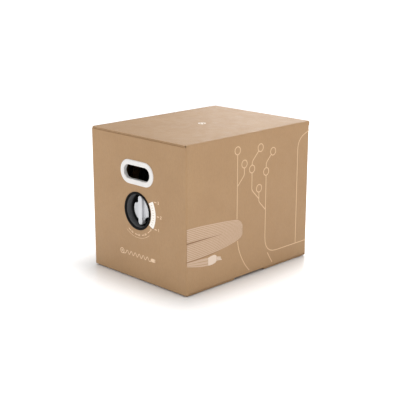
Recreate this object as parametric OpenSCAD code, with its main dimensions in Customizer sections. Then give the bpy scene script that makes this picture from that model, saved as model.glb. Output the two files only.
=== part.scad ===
// Cable spool box: a corrugated carton with a hinged lid that holds a reel of data cable on a fixed
// axle. The cable leaves through an oval outlet in the front, and a dial under the outlet presses
// two brake pads towards the rims of the reel.
// Frame: origin at the bottom centre of the carton, +Z up, the dial faces -Y, the lid's crease is on +X.

/* [Carton] */
// Outside width of the carton, along X
box_w = 320; // [314:1:330]
// Outside depth of the carton, along Y
box_d = 414; // [410:1:424]
// Outside height of the carton, along Z
box_h = 340; // [334:1:350]
// Thickness of the corrugated board
board = 4; // [3.5:0.1:4.2]
// Length of each outer bottom flap, along Y
bottom_flap_l = 155; // [120:5:190]
// Length of each dust flap under the lid
dust_flap_l = 72; // [50:1:75]
// Length of the tuck flap on the free edge of the lid
tuck_l = 58; // [40:1:58]
// Inward lean of the tuck flap when the lid is shut
tuck_lean = 8; // [7:0.5:9]

/* [Outlet and handle] */
// Height of the centre of both oval openings
oval_z = 253.7; // [248:0.1:258]
// Straight length of the ovals between their round ends
oval_straight = 54.6; // [40:0.1:58]
// Radius of the round ends of the opening
oval_r = 16.2; // [14:0.1:18]
// Width of the rim round the opening
oval_rim = 12; // [10:0.5:13]

/* [Dial] */
// Height of the centre of the dial
dial_z = 165; // [164:0.5:168]
// Inside radius of the dial's recess
recess_r = 39; // [38:0.5:40]
// Depth of the recess below the front panel
recess_depth = 20; // [19:0.5:21]
// Outer radius of the rim round the recess
recess_rim_r = 44.8; // [44:0.1:46]
// Radius of the knob's disc
knob_r = 27; // [24:0.5:30]
// Length of the knob's grip ridge
grip_l = 68.5; // [60:0.5:72]
// Width of the knob's grip ridge
grip_w = 13.5; // [11:0.5:14]

/* [Reel] */
// Radius of the reel's flanges
flange_r = 152; // [145:1:153]
// Outside width of the reel over both flanges
reel_w = 276; // [260:2:278]
// Thickness of each flange
flange_t = 5; // [4:0.5:6]
// Outer radius of the core tube
core_r = 50; // [50:0.5:54]
// Outer radius of the wound cable
pack_r = 136; // [110:1:140]
// Distance of the reel's axis behind the centre of the carton
reel_y = 38; // [36:0.5:39]
// Radius of the fixed axle
axle_r = 12.5; // [11:0.5:13]

/* [Brake] */
// Travel of the brake from the middle setting to either end
brake_travel = 1.7; // [1:0.1:2]
// Thickness of the brake pads at their middle
pad_t = 6; // [4:0.5:7]
// Height of the brake bar
bar_h = 24; // [20:1:28]

/* [Hidden] */

$fn = 96;
kraft = [0.71, 0.58, 0.45];
kraft_inside = [0.66, 0.53, 0.40];
touch = 0.1;                            // gap left between pieces that rest on each other
run = 0.06;                             // radial clearance of a running fit
fold_gap = 0.3;                         // gap left round a crease that folds

half_w = box_w / 2;
half_d = box_d / 2;
in_w = half_w - board;                  // inner face of the side panels
in_d = half_d - board;                  // inner face of the front and back panels
lid_z = box_h - board;                  // underside of the lid
flap_top = lid_z - 0.5;                 // top face of the dust flaps
flap_low = flap_top - board;            // underside of the dust flaps
wall_top = lid_z - fold_gap;            // top edge of the right panel, under the lid's crease
free_top = box_h - 0.5;                 // top edge of the left panel, which the lid shuts behind
insert_x = in_w - 0.2;                  // outer face of the support inserts
insert_in_x = insert_x - board;         // inner face of the support inserts
end_top = lid_z - 3;                    // top edge of the front and back panels, under the flaps' creases
end_low = 2.5;                          // lower edge of the front and back panels, over the flaps' creases
crease_half = insert_in_x;              // half the length of the creases of the dust flaps
side_low = board + 1.5;                 // lower edge of the side panels
inner_flap_z = board + 0.2;             // underside of the inner bottom flaps
bottom_inset = 2.5;                     // how far the outer bottom flaps stay inside the side panels
floor_z = inner_flap_z + board;         // inside floor of the carton

sleeve_wall = 3.8;                      // wall of the oval sleeves
sleeve_r = oval_r + sleeve_wall;        // outer radius of the oval sleeves
sleeve_l = 7.6;                         // how far the oval sleeves reach behind the panel's face
oval_hole_r = sleeve_r + 0.3;           // radius of the oval holes in the panels
rim_proud = 2.2;                        // how far the oval rims stand proud of the panel
retainer_t = 3;

cup_wall = 2;
cup_r = recess_r + cup_wall;            // outer radius of the recess cup
cup_hole_r = cup_r + 0.3;               // radius of the hole in the front panel
cup_floor_t = 2.5;
cup_floor_y = -half_d + recess_depth;   // inner face of the cup's floor
cup_back_y = cup_floor_y + cup_floor_t; // back face of the cup's floor
ring_rise = 1.8;                        // how far the dial's rim stands proud of the panel

knob_face_y = cup_floor_y - 6.5;        // front face of the knob's disc
knob_t = 4;                             // thickness of the knob's disc
grip_rise = 6;                          // how far the grip stands out from the disc
notch_w = 11;                           // width of the sloping side of the disc's two notches
notch_low = 12.3;                       // height of the notches' lower corner above the axis
spindle_r = 5;
spindle_neck_r = 4;                     // the end of the spindle that the knob is pressed on
boss_r = 8.5;                           // boss round the spindle, behind the cup's floor
boss_l = 3.5;
clip_y = cup_back_y + boss_l + 0.3;     // front face of the clip
clip_t = 0.8;

guide_plate = 60;                       // side of the guide's square mounting plate
guide_plate_t = 2.5;
guide_bore = 20;                        // side of the guide's square bore
guide_wall = 2.2;
guide_y = cup_back_y + touch;           // front face of the guide's plate
guide_end_y = guide_y + 38;             // back end of the guide
guide_screw_r = 1.5;
guide_screw_at = 24;                    // distance of the screws from the dial's axis, in X and Z

pad_gap = 0.5;                          // gap between pads and rims at the hardest setting
pad_face_r = flange_r + pad_gap + brake_travel;
bar_back_y = reel_y - pad_face_r - pad_t;
bar_t = 6;
bar_front_y = bar_back_y - bar_t;
spring_l = 10;
head_t = 4;
head_back_y = bar_front_y - spring_l;   // back face of the plunger's head
head_y = head_back_y - head_t;          // front face of the plunger's head
plunger_side = guide_bore - 0.5;
plunger_front_y = clip_y + clip_t + brake_travel + 2;
bar_screw_x = 15;                       // distance of the bar's screws from the dial's axis
bar_screw_r = 2;

flange_x = reel_w / 2;                  // outer face of the flanges
flange_in_x = flange_x - flange_t;      // inner face of the flanges
core_in_r = core_r - 5;                 // inner radius of the core tube
hub_hole_r = 30;
hub_end_x = flange_x + 4;               // outer end of the hub bushes
rod_r = 3;
rod_at = 38;                            // distance of the tie rods from the reel's axis
rod_count = 4;
nut_t = 5;

insert_top = box_h - 82;
insert_return = 42;                     // width of the inserts' folded ends
insert_front_y = -in_d + 0.2;
insert_back_y = in_d - board - 0.4;     // in front of the glue tab
socket_spigot_r = 18;
socket_flange_r = 30;
socket_flange_t = 3;
socket_end_x = hub_end_x + 1;           // inner end of the sockets, with 1 mm of end float
axle_end_x = insert_x - 1.8;

tab_w = 35;                             // width of the glue tab
tuck_pivot_x = -in_w + 0.4;
tuck_pivot_z = lid_z - 0.1;

// Places children at the dial's axis, with their +Z turned to run along +Y
module on_dial_axis(y) { translate([0, y, dial_z]) rotate([-90, 0, 0]) children(); }

// Places children at the reel's axis, with their +Z turned to run along +X
module on_reel_axis(x) { translate([x, reel_y, dial_z]) rotate([0, 90, 0]) children(); }

// Mirrors children to the left half when side is -1
module on_side(side) { mirror([side < 0 ? 1 : 0, 0, 0]) children(); }

// Oval plan with straight sides, in the XY plane
module oval(r) {
    square([oval_straight, 2 * r], center = true);
    for (s = [-1, 1]) translate([s * oval_straight / 2, 0]) circle(r);
}

// Sweeps a profile (distance from the mid line, height) round the oval
module oval_sweep() {
    for (s = [0, 1]) rotate([0, 0, 180 * s]) {
        translate([oval_straight / 2, 0, 0]) rotate([0, 0, -90]) rotate_extrude(angle = 180) children();
        translate([oval_straight / 2, 0, 0]) rotate([90, 0, -90]) linear_extrude(oval_straight) children();
    }
}

// Front or back panel: its outer corners are rounded where the board folds to the side panels, and
// they reach up to the lid beside the dust flap's crease
module end_panel() {
    corner_h = wall_top - end_low;
    translate([-in_w, -half_d, end_low]) cube([2 * in_w, board, end_top - end_low]);
    for (s = [-1, 1]) {
        translate([s > 0 ? crease_half : -in_w, -half_d, end_low])
            cube([in_w - crease_half, board, corner_h]);
        intersection() {
            translate([s * in_w, -in_d, end_low]) cylinder(r = board, h = corner_h);
            translate([s > 0 ? in_w : -half_w, -half_d, end_low]) cube([board, board, corner_h]);
        }
    }
}

// Hole for an oval sleeve, cut through the front panel
module oval_cut() {
    translate([0, -half_d - 1, oval_z]) rotate([-90, 0, 0]) linear_extrude(board + 2) oval(oval_hole_r);
}

module front_panel() {
    color(kraft) difference() {
        end_panel();
        oval_cut();
        on_dial_axis(-half_d - 1) cylinder(r = cup_hole_r, h = board + 2);
    }
}

module back_panel() {
    color(kraft) mirror([0, 1, 0]) difference() {
        end_panel();
        oval_cut();
    }
}

module side_panel(top) {
    translate([in_w, -in_d, side_low]) cube([board, 2 * in_d, top - side_low]);
}

module left_panel() { color(kraft) on_side(-1) side_panel(free_top); }
module right_panel() { color(kraft) on_side(1) side_panel(wall_top); }

// Overlap of the blank, glued to the inside of the back panel
module glue_tab() {
    color(kraft_inside) translate([-in_w, in_d - board - touch, floor_z + 4])
        cube([tab_w, board, flap_low - floor_z - 20]);
}

module outer_bottom_flap() {
    flap_half = half_w - bottom_inset;
    translate([-flap_half, -in_d, 0]) cube([2 * flap_half, bottom_flap_l - board, board]);
}

module bottom_flap_front() { color(kraft) outer_bottom_flap(); }
module bottom_flap_back() { color(kraft) mirror([0, 1, 0]) outer_bottom_flap(); }

module inner_bottom_flap() {
    translate([0.5, -in_d + 1, inner_flap_z]) cube([in_w - 0.5, 2 * in_d - 2, board]);
}

module bottom_flap_left() { color(kraft_inside) on_side(-1) inner_bottom_flap(); }
module bottom_flap_right() { color(kraft_inside) on_side(1) inner_bottom_flap(); }

// Corrugated lining folded to a C in plan: it stands on the floor and carries one end of the axle
module support_insert() {
    insert_h = insert_top - floor_z - touch;
    length = insert_back_y - insert_front_y;
    difference() {
        translate([insert_in_x, insert_front_y, floor_z + touch]) cube([board, length, insert_h]);
        on_reel_axis(insert_in_x - 1) cylinder(r = socket_spigot_r + 0.2, h = board + 2);
    }
    for (y = [insert_front_y, insert_back_y - board])
        translate([insert_in_x - insert_return, y, floor_z + touch]) cube([insert_return, board, insert_h]);
}

module support_insert_left() { color(kraft_inside) on_side(-1) support_insert(); }
module support_insert_right() { color(kraft_inside) on_side(1) support_insert(); }

// Cup that holds the end of the axle in the lining
module axle_socket() {
    flange_at = insert_in_x - touch - socket_flange_t;
    difference() {
        union() {
            on_reel_axis(flange_at) cylinder(r = socket_flange_r, h = socket_flange_t);
            on_reel_axis(flange_at) cylinder(r = socket_spigot_r, h = insert_x - touch - flange_at);
            on_reel_axis(socket_end_x) cylinder(r = socket_spigot_r, h = flange_at - socket_end_x);
            for (a = [0:60:300]) on_reel_axis(socket_end_x + 2) rotate([0, 0, a])
                translate([socket_spigot_r - 1, -1, 0])
                    cube([socket_flange_r - socket_spigot_r - 1, 2, flange_at - socket_end_x - 2]);
        }
        on_reel_axis(socket_end_x - 1) cylinder(r = axle_r + 0.1, h = axle_end_x + 0.2 - socket_end_x + 1);
    }
}

module axle_socket_left() { color("dimgray") on_side(-1) axle_socket(); }
module axle_socket_right() { color("dimgray") on_side(1) axle_socket(); }

module axle() {
    color("silver") on_reel_axis(-axle_end_x) difference() {
        cylinder(r = axle_r, h = 2 * axle_end_x);
        translate([0, 0, -1]) cylinder(r = axle_r - 2, h = 2 * axle_end_x + 2);
    }
}

// Rim and sleeve of an oval opening: the rim's outer and inner edges are rounded
module oval_bezel_profile() {
    rim_r = oval_r + oval_rim;
    edge = 1.2;
    translate([oval_r + edge, 0]) square([oval_rim - edge - rim_proud, rim_proud]);
    translate([oval_r, 0]) square([edge, rim_proud - edge]);
    intersection() {
        translate([oval_r + edge, rim_proud - edge]) circle(edge);
        translate([oval_r, rim_proud - edge]) square(edge);
    }
    intersection() {
        translate([rim_r - rim_proud, 0]) circle(rim_proud);
        translate([rim_r - rim_proud, 0]) square(rim_proud);
    }
    translate([oval_r, -sleeve_l]) square([sleeve_wall, sleeve_l]);
}

module front_bezel() {
    translate([0, -half_d, oval_z]) rotate([90, 0, 0]) oval_sweep() oval_bezel_profile();
}

// Ring that snaps on the sleeve behind the panel
module front_retainer() {
    translate([0, -in_d + touch, oval_z]) rotate([-90, 0, 0]) linear_extrude(retainer_t)
        difference() {
            oval(sleeve_r + 6);
            oval(sleeve_r + touch);
        }
}

module outlet_bezel() { color("white") front_bezel(); }
module outlet_retainer() { color("gainsboro") front_retainer(); }
module handle_bezel() { color("white") mirror([0, 1, 0]) front_bezel(); }
module handle_retainer() { color("gainsboro") mirror([0, 1, 0]) front_retainer(); }

// Half section of the recess cup, as (radius, depth behind the panel's face)
module cup_profile() {
    lip_w = recess_rim_r - recess_r;
    translate([recess_r, 0]) square([cup_wall, recess_depth + cup_floor_t]);
    translate([0, recess_depth]) square([cup_r, cup_floor_t]);
    translate([recess_r + 1, -ring_rise]) square([lip_w - 1 - ring_rise, ring_rise]);
    translate([recess_r, -ring_rise + 1]) square([1, ring_rise - 1]);
    intersection() {
        translate([recess_r + 1, -ring_rise + 1]) circle(1);
        translate([recess_r, -ring_rise]) square(1);
    }
    intersection() {
        translate([recess_rim_r - ring_rise, 0]) circle(ring_rise);
        translate([recess_rim_r - ring_rise, -ring_rise]) square(ring_rise);
    }
}

module dial_housing() {
    color([0.1, 0.1, 0.1]) difference() {
        union() {
            on_dial_axis(-half_d) rotate_extrude() cup_profile();
            on_dial_axis(cup_back_y) cylinder(r = boss_r, h = boss_l);
        }
        on_dial_axis(cup_floor_y - 1) cylinder(r = spindle_r + run, h = cup_floor_t + boss_l + 2);
        for (x = [-1, 1], z = [-1, 1]) translate([x * guide_screw_at, 0, z * guide_screw_at])
            on_dial_axis(cup_floor_y + 0.5) cylinder(r = guide_screw_r + 0.1, h = cup_floor_t);
    }
}

// Ring nut that clamps the cup to the panel
module housing_ring_nut() {
    color("black") on_dial_axis(-in_d + touch) {
        difference() {
            cylinder(r = cup_r + 5.5, h = 5);
            translate([0, 0, -1]) cylinder(r = cup_r + touch, h = 7);
        }
        for (a = [0:45:315]) rotate([0, 0, a]) translate([cup_r + 5, -4, 0]) cube([3, 8, 5]);
    }
}

module brake_guide() {
    tube_side = guide_bore + 2 * guide_wall;
    tube_l = guide_end_y - guide_y;
    color([0.15, 0.15, 0.16]) difference() {
        union() {
            translate([-guide_plate / 2, guide_y, dial_z - guide_plate / 2])
                cube([guide_plate, guide_plate_t, guide_plate]);
            translate([-tube_side / 2, guide_y, dial_z - tube_side / 2]) cube([tube_side, tube_l, tube_side]);
            for (a = [0:90:270]) translate([0, guide_y, dial_z]) rotate([0, a, 0])
                translate([tube_side / 2 - 1, 0, -1]) cube([10, tube_l * 0.5, 2]);
        }
        translate([-guide_bore / 2, guide_y - 1, dial_z - guide_bore / 2])
            cube([guide_bore, tube_l + 2, guide_bore]);
        for (x = [-1, 1], z = [-1, 1]) translate([x * guide_screw_at, 0, z * guide_screw_at])
            on_dial_axis(guide_y - 1) cylinder(r = guide_screw_r + 0.2, h = guide_plate_t + 2);
    }
}

// Pan-head screw: the head's underside is at z = 0 and the shank runs to -z
module screw(shank_r, shank_l, head_r, head_h) {
    difference() {
        union() {
            translate([0, 0, -shank_l]) cylinder(r = shank_r, h = shank_l);
            cylinder(r = head_r, h = head_h);
        }
        translate([0, 0, head_h / 2]) {
            translate([-head_r * 0.6, -0.3, 0]) cube([head_r * 1.2, 0.6, head_h]);
            translate([-0.3, -head_r * 0.6, 0]) cube([0.6, head_r * 1.2, head_h]);
        }
    }
}

module guide_screws() {
    color("silver") for (x = [-1, 1], z = [-1, 1])
        translate([x * guide_screw_at, 0, z * guide_screw_at])
            on_dial_axis(guide_y + guide_plate_t + touch)
                screw(guide_screw_r, guide_plate_t + cup_floor_t - 0.4, 2.8, 2);
}

// Lid: it lies on the front and back panels and shuts behind the left panel
module lid_panel() {
    left = -in_w + fold_gap;
    color(kraft) translate([left, -half_d, lid_z]) cube([half_w - left, box_d, board]);
}

// Flap on the free edge of the lid, with its lower corners cut off at a slant
module tuck_flap() {
    flap_w = 2 * in_d - 16;
    slant = 14;
    color(kraft) translate([tuck_pivot_x, 0, tuck_pivot_z]) rotate([0, -tuck_lean, 0])
        rotate([90, 0, 90]) linear_extrude(board)
            polygon([[-flap_w / 2, -0.8], [-flap_w / 2, -tuck_l * 0.4], [-flap_w / 2 + slant, -tuck_l],
                [flap_w / 2 - slant, -tuck_l], [flap_w / 2, -tuck_l * 0.4], [flap_w / 2, -0.8]]);
}

// Flap on the top edge of the front panel, lying under the lid, with its free corners cut at a slant
module dust_flap() {
    left = -in_w + 10;
    right = insert_in_x - 1;
    slant = 10;
    translate([0, -in_d + 0.3, flap_low]) linear_extrude(board)
        polygon([[left, 0], [right, 0], [right, dust_flap_l * 0.3], [right - slant, dust_flap_l],
            [left + slant, dust_flap_l], [left, dust_flap_l * 0.3]]);
}

module dust_flap_front() { color(kraft_inside) dust_flap(); }
module dust_flap_back() { color(kraft_inside) mirror([0, 1, 0]) dust_flap(); }

// Flange of the reel, with a drive hole and a hole for the inner end of the cable
module reel_flange() {
    difference() {
        on_reel_axis(flange_in_x) cylinder(r = flange_r, h = flange_t, $fn = 180);
        on_reel_axis(flange_in_x - 1) cylinder(r = hub_hole_r + touch, h = flange_t + 2);
        tie_rod_places(flange_in_x - 1) cylinder(r = rod_r + 0.2, h = flange_t + 2);
        on_reel_axis(flange_in_x - 1) rotate([0, 0, 20]) translate([core_r + 12, 0, 0])
            cylinder(r = 9, h = flange_t + 2);
        on_reel_axis(flange_in_x - 1) rotate([0, 0, 200]) translate([110, 0, 0])
            cylinder(r = 11, h = flange_t + 2);
    }
}

// Places children on the circle of the tie rods
module tie_rod_places(x) {
    on_reel_axis(x) for (i = [0:rod_count - 1]) rotate([0, 0, 45 + i * 360 / rod_count])
        translate([rod_at, 0, 0]) children();
}

module reel_flange_left() { color("burlywood") on_side(-1) reel_flange(); }
module reel_flange_right() { color("burlywood") on_side(1) reel_flange(); }

module core_tube() {
    core_l = 2 * flange_in_x - 2 * touch;
    color("tan") on_reel_axis(-core_l / 2) difference() {
        cylinder(r = core_r, h = core_l);
        translate([0, 0, -1]) cylinder(r = core_in_r, h = core_l + 2);
    }
}

// Bearing bush of the reel: a disc inside the core tube, with a spigot through the flange
module hub_bush() {
    disc_t = 6;
    sleeve = 34;
    difference() {
        union() {
            on_reel_axis(flange_in_x - touch - disc_t) cylinder(r = core_in_r - 0.2, h = disc_t);
            on_reel_axis(flange_in_x - touch - disc_t) cylinder(r = hub_hole_r, h = hub_end_x
                - flange_in_x + touch + disc_t);
            on_reel_axis(hub_end_x - sleeve) cylinder(r = axle_r + 4, h = sleeve);
        }
        on_reel_axis(hub_end_x - sleeve - 1) cylinder(r = axle_r + run, h = sleeve + 2);
        on_reel_axis(flange_x - 1) difference() {
            cylinder(r = hub_hole_r - 3, h = 8);
            translate([0, 0, -1]) cylinder(r = axle_r + 4, h = 10);
        }
        tie_rod_places(flange_in_x - disc_t - 2) cylinder(r = rod_r + 0.2, h = disc_t + 4);
    }
}

module hub_bush_left() { color("whitesmoke") on_side(-1) hub_bush(); }
module hub_bush_right() { color("whitesmoke") on_side(1) hub_bush(); }

module tie_rods() {
    rod_l = reel_w + 2 * nut_t + 2;
    color("silver") tie_rod_places(-rod_l / 2) cylinder(r = rod_r, h = rod_l, $fn = 32);
}

module tie_nuts() {
    color("gray") for (x = [flange_x + touch, -flange_x - touch - nut_t]) tie_rod_places(x)
        difference() {
            cylinder(r = 5.6, h = nut_t, $fn = 6);
            translate([0, 0, -1]) cylinder(r = rod_r + 0.05, h = nut_t + 2, $fn = 32);
        }
}

module cable_pack() {
    pack_half = flange_in_x - 0.3;
    corner = 3;
    color([0.1, 0.1, 0.1]) on_reel_axis(0) rotate_extrude($fn = 180) {
        translate([core_r + touch, -pack_half]) square([pack_r - corner - core_r - touch, 2 * pack_half]);
        translate([core_r + touch, -pack_half + corner])
            square([pack_r - core_r - touch, 2 * (pack_half - corner)]);
        for (s = [-1, 1]) translate([pack_r - corner, s * (pack_half - corner)]) circle(corner);
    }
}

// Tape that holds the outer end of the cable on the pack
module end_tape() {
    tape_w = 26;
    color("gainsboro") on_reel_axis(46) rotate([0, 0, 150])
        rotate_extrude(angle = 62, $fn = 180) translate([pack_r + touch, 0]) square([0.9, tape_w]);
}

// Outline cut away from the disc beside one end of the grip
module notch() {
    side = grip_w / 2;
    outside = -knob_r - 1;
    polygon([[outside, -notch_low], [-side - notch_w, -notch_low - 2],
        [-side - notch_w / 2, -notch_low - 5], [-side, -notch_low - 11], [-side, outside],
        [outside, outside]]);
}

// Knob: a disc with two notches, and a grip ridge across it that is longer than the disc
module dial_knob() {
    grip_front_y = knob_face_y - grip_rise;
    color([0.84, 0.84, 0.85]) difference() {
        union() {
            difference() {
                on_dial_axis(knob_face_y) cylinder(r = knob_r, h = knob_t);
                for (a = [0, 180]) translate([0, knob_face_y - 1, dial_z]) rotate([-90, a, 0])
                    linear_extrude(knob_t + 2) notch();
            }
            translate([-grip_w / 2, grip_front_y, dial_z - grip_l / 2 + grip_w / 2])
                cube([grip_w, grip_rise + knob_t, grip_l - grip_w]);
            for (s = [-1, 1]) translate([0, 0, s * (grip_l - grip_w) / 2]) on_dial_axis(grip_front_y)
                cylinder(r = grip_w / 2, h = grip_rise + knob_t);
            on_dial_axis(knob_face_y + knob_t) cylinder(r = 9, h = 2.2);
        }
        on_dial_axis(knob_face_y - 2) cylinder(r = spindle_neck_r + 0.05, h = 20);
    }
}

module dial_spindle() {
    neck_y = knob_face_y - 1.8;
    shaft_y = knob_face_y + knob_t + 2.4;
    screw_end_y = plunger_front_y + 26;
    color("silver") difference() {
        union() {
            on_dial_axis(neck_y) cylinder(r = spindle_neck_r, h = shaft_y - neck_y);
            on_dial_axis(shaft_y) cylinder(r = spindle_r, h = clip_y + clip_t + 1 - shaft_y);
            on_dial_axis(clip_y) cylinder(r = spindle_r - 0.5, h = screw_end_y - clip_y);
        }
        on_dial_axis(clip_y - 0.1) difference() {
            cylinder(r = spindle_r + 1, h = clip_t + 0.2);
            translate([0, 0, -1]) cylinder(r = spindle_r - 1, h = clip_t + 3);
        }
    }
}

// Open clip in the spindle's groove
module spindle_clip() {
    color("gray") difference() {
        on_dial_axis(clip_y) cylinder(r = spindle_r + 2.5, h = clip_t);
        on_dial_axis(clip_y - 1) cylinder(r = spindle_r - 0.95, h = clip_t + 2);
        translate([-1.5, clip_y - 1, dial_z - spindle_r - 4]) cube([3, clip_t + 2, spindle_r + 3]);
    }
}

// Square plunger that the spindle's screw drives along Y, with a head for the spring and the bar
module brake_plunger() {
    screw_bore_l = 30;
    color([0.25, 0.25, 0.26]) difference() {
        union() {
            translate([-plunger_side / 2, plunger_front_y, dial_z - plunger_side / 2])
                cube([plunger_side, head_back_y - plunger_front_y, plunger_side]);
            translate([-bar_screw_x - 5, head_y, dial_z - plunger_side / 2])
                cube([2 * bar_screw_x + 10, head_t, plunger_side]);
        }
        on_dial_axis(plunger_front_y - 1) cylinder(r = spindle_r - 0.5 + run, h = screw_bore_l + 1);
        for (s = [-1, 1]) translate([s * bar_screw_x, 0, 0]) on_dial_axis(head_y - 1)
            cylinder(r = bar_screw_r + 0.1, h = head_t + 2);
    }
}

// Coil spring between the plunger's head and the bar, swept along a helix
module drag_spring() {
    wire_r = 0.8;
    coil_r = 7.5;
    turns = 4;
    sides = 8;
    steps = 24;
    rings = turns * steps;
    rise = (spring_l - 2 * wire_r - 0.4) / rings;
    points = [for (i = [0:rings], j = [0:sides - 1])
        let (a = i * 360 / steps, b = j * 360 / sides, r = coil_r + wire_r * cos(b))
            [r * cos(a), r * sin(a), wire_r + 0.2 + i * rise + wire_r * sin(b)]];
    walls = [for (i = [0:rings - 1], j = [0:sides - 1])
        [i * sides + j, (i + 1) * sides + j,
            (i + 1) * sides + (j + 1) % sides, i * sides + (j + 1) % sides]];
    ends = [[for (j = [0:sides - 1]) j], [for (j = [0:sides - 1]) (rings + 1) * sides - 1 - j]];
    color("silver") on_dial_axis(head_back_y) polyhedron(points, concat(walls, ends));
}

// Channel bar across both flanges, open to the front
module brake_bar() {
    bar_half = flange_x + 5;
    wall = 2;
    color([0.2, 0.2, 0.21]) difference() {
        translate([-bar_half, bar_front_y, dial_z - bar_h / 2]) cube([2 * bar_half, bar_t, bar_h]);
        for (s = [-1, 1]) translate([s > 0 ? 24 : -bar_half + wall, bar_front_y - 1,
            dial_z - bar_h / 2 + wall])
                cube([bar_half - wall - 24, bar_t - wall + 1, bar_h - 2 * wall]);
        for (s = [-1, 1]) translate([s * bar_screw_x, 0, 0]) on_dial_axis(bar_front_y - 1)
            cylinder(r = bar_screw_r + 0.1, h = bar_t + 2);
    }
}

// Shoulder screws that hold the bar to the plunger's head, with the spring between them
module bar_screws() {
    color("silver") for (s = [-1, 1]) translate([s * bar_screw_x, 0, 0])
        on_dial_axis(bar_back_y + touch) screw(bar_screw_r, bar_t + spring_l + head_t + touch, 3.6, 2.4);
}

// Brake pad, hollowed to the radius of the flange's rim
module brake_pad() {
    pad_w = 14;
    pad_h = bar_h + 6;
    color("darkslategray") difference() {
        translate([flange_x - flange_t / 2 - pad_w / 2, bar_back_y + touch, dial_z - pad_h / 2])
            cube([pad_w, pad_t + 6, pad_h]);
        on_reel_axis(flange_x - 30) cylinder(r = pad_face_r, h = 60, $fn = 180);
    }
}

module brake_pad_left() { on_side(-1) brake_pad(); }
module brake_pad_right() { on_side(1) brake_pad(); }

front_panel();
back_panel();
left_panel();
right_panel();
glue_tab();
bottom_flap_front();
bottom_flap_back();
bottom_flap_left();
bottom_flap_right();
support_insert_left();
support_insert_right();
axle_socket_left();
axle_socket_right();
axle();
outlet_bezel();
outlet_retainer();
handle_bezel();
handle_retainer();
dial_housing();
housing_ring_nut();
brake_guide();
guide_screws();
lid_panel();
tuck_flap();
dust_flap_front();
dust_flap_back();
reel_flange_left();
reel_flange_right();
core_tube();
hub_bush_left();
hub_bush_right();
tie_rods();
tie_nuts();
cable_pack();
end_tape();
dial_knob();
dial_spindle();
spindle_clip();
brake_plunger();
drag_spring();
brake_bar();
bar_screws();
brake_pad_left();
brake_pad_right();
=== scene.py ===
import math

import bmesh
import bpy
from mathutils import Matrix, Vector


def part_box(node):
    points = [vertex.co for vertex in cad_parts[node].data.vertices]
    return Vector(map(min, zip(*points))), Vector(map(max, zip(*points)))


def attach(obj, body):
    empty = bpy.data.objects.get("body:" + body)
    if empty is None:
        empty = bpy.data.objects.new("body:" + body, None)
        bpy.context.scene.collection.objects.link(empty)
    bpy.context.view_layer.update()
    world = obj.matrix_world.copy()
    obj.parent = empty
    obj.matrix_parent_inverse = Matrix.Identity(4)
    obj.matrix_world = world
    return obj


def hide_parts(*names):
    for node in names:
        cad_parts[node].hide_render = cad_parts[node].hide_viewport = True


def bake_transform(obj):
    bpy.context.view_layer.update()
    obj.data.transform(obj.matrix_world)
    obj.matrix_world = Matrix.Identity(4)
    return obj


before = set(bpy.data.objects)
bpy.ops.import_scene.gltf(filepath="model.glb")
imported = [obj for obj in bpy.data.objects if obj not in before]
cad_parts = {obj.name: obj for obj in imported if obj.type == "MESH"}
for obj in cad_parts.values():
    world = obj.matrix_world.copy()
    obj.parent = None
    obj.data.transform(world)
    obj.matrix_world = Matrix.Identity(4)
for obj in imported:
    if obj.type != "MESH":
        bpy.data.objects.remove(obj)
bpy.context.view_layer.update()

MM = 0.001
TAU = 2 * math.pi


# ---------------------------------------------------------------- places, all read from the frame
def centre(node):
    low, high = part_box(node)
    return (low + high) / 2


FRONT_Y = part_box("front_panel")[0].y
BACK_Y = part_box("back_panel")[1].y
RIGHT_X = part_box("right_panel")[1].x
LID_LOW, LID_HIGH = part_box("lid_panel")
BOARD = LID_HIGH.z - LID_LOW.z
OVAL = centre("outlet_bezel")
DIAL = centre("dial_housing")
REEL = centre("reel_flange_left")
FLANGE_IN_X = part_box("reel_flange_right")[0].x
PACK_R = (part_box("cable_pack")[1].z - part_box("cable_pack")[0].z) / 2
CORE_R = (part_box("core_tube")[1].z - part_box("core_tube")[0].z) / 2

BOX_D = (BACK_Y - FRONT_Y) / MM   # depth of the carton in millimetres, for the printing

WORLD = 0.64                      # strength of the even white light from all round
LINER = 0.45 * MM                 # thickness of a board's liners
SKIN = 0.05 * MM                  # how far the liner over a fold stands off the board
SINK = 0.02 * MM                  # how far rims reach into the panel that they lie on
FLUTE_PITCH = 7.6 * MM
CABLE_D = 7 * MM
CABLE_END = 100                   # angle of the cable's outer end, past the top of the reel
OVAL_RIM = 12 * MM                # width of the white rims
SLEEVE = 3.8 * MM                 # wall of the sleeves behind them
RECESS_DEPTH = 20 * MM            # of the dial's cup, below the panel
GRIP_RISE = 6 * MM                # of the knob's grip, above its disc
GRIP_WIDTH = 13.5 * MM
KNOB_DISC = 4 * MM                # thickness of the knob's disc
SPINDLE_BORE = 5.06 * MM          # radius of the bore in the knob and the cup
DUST_STRAIGHT, DUST_SLANT = 0.3, 10 * MM    # share of a flap's length with straight sides, and the slant
TUCK_LEAN = 8                     # degrees that the tuck flap leans inwards

AZIMUTH, ELEVATION = math.radians(45.10), math.radians(15.35)
CAMERA_DISTANCE = 2.2246
CAMERA_TARGET = Vector((-0.0060, -0.0006, 0.1498))
CAMERA_LENS = 82.18               # millimetres, on a sensor 36 wide

FLOOR_Z = -0.0018
FLOOR_GLOW = 0.5                  # emission of the floor away from the object
GLOW_REACH = 0.11                 # metres outside the carton's plan where that glow is full

LAMPS = (                         # name, location, target, size, watts
    ("overhead", (0.10, 0.05, 1.45), (0.05, 0, 0.2), (1.5, 1.5), 5),
    ("side", (1.5, 0.1, 1.3), (0, 0, 0.3), (0.9, 0.9), 5.5),
    ("front", (-0.4, -2.2, 0.8), (0, 0, 0.2), (1.2, 0.9), 6),
    ("sheen", (-0.70, 1.70, 1.05), (0.05, 0.1, 0.34), (1.6, 1.0), 16),
)


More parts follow.
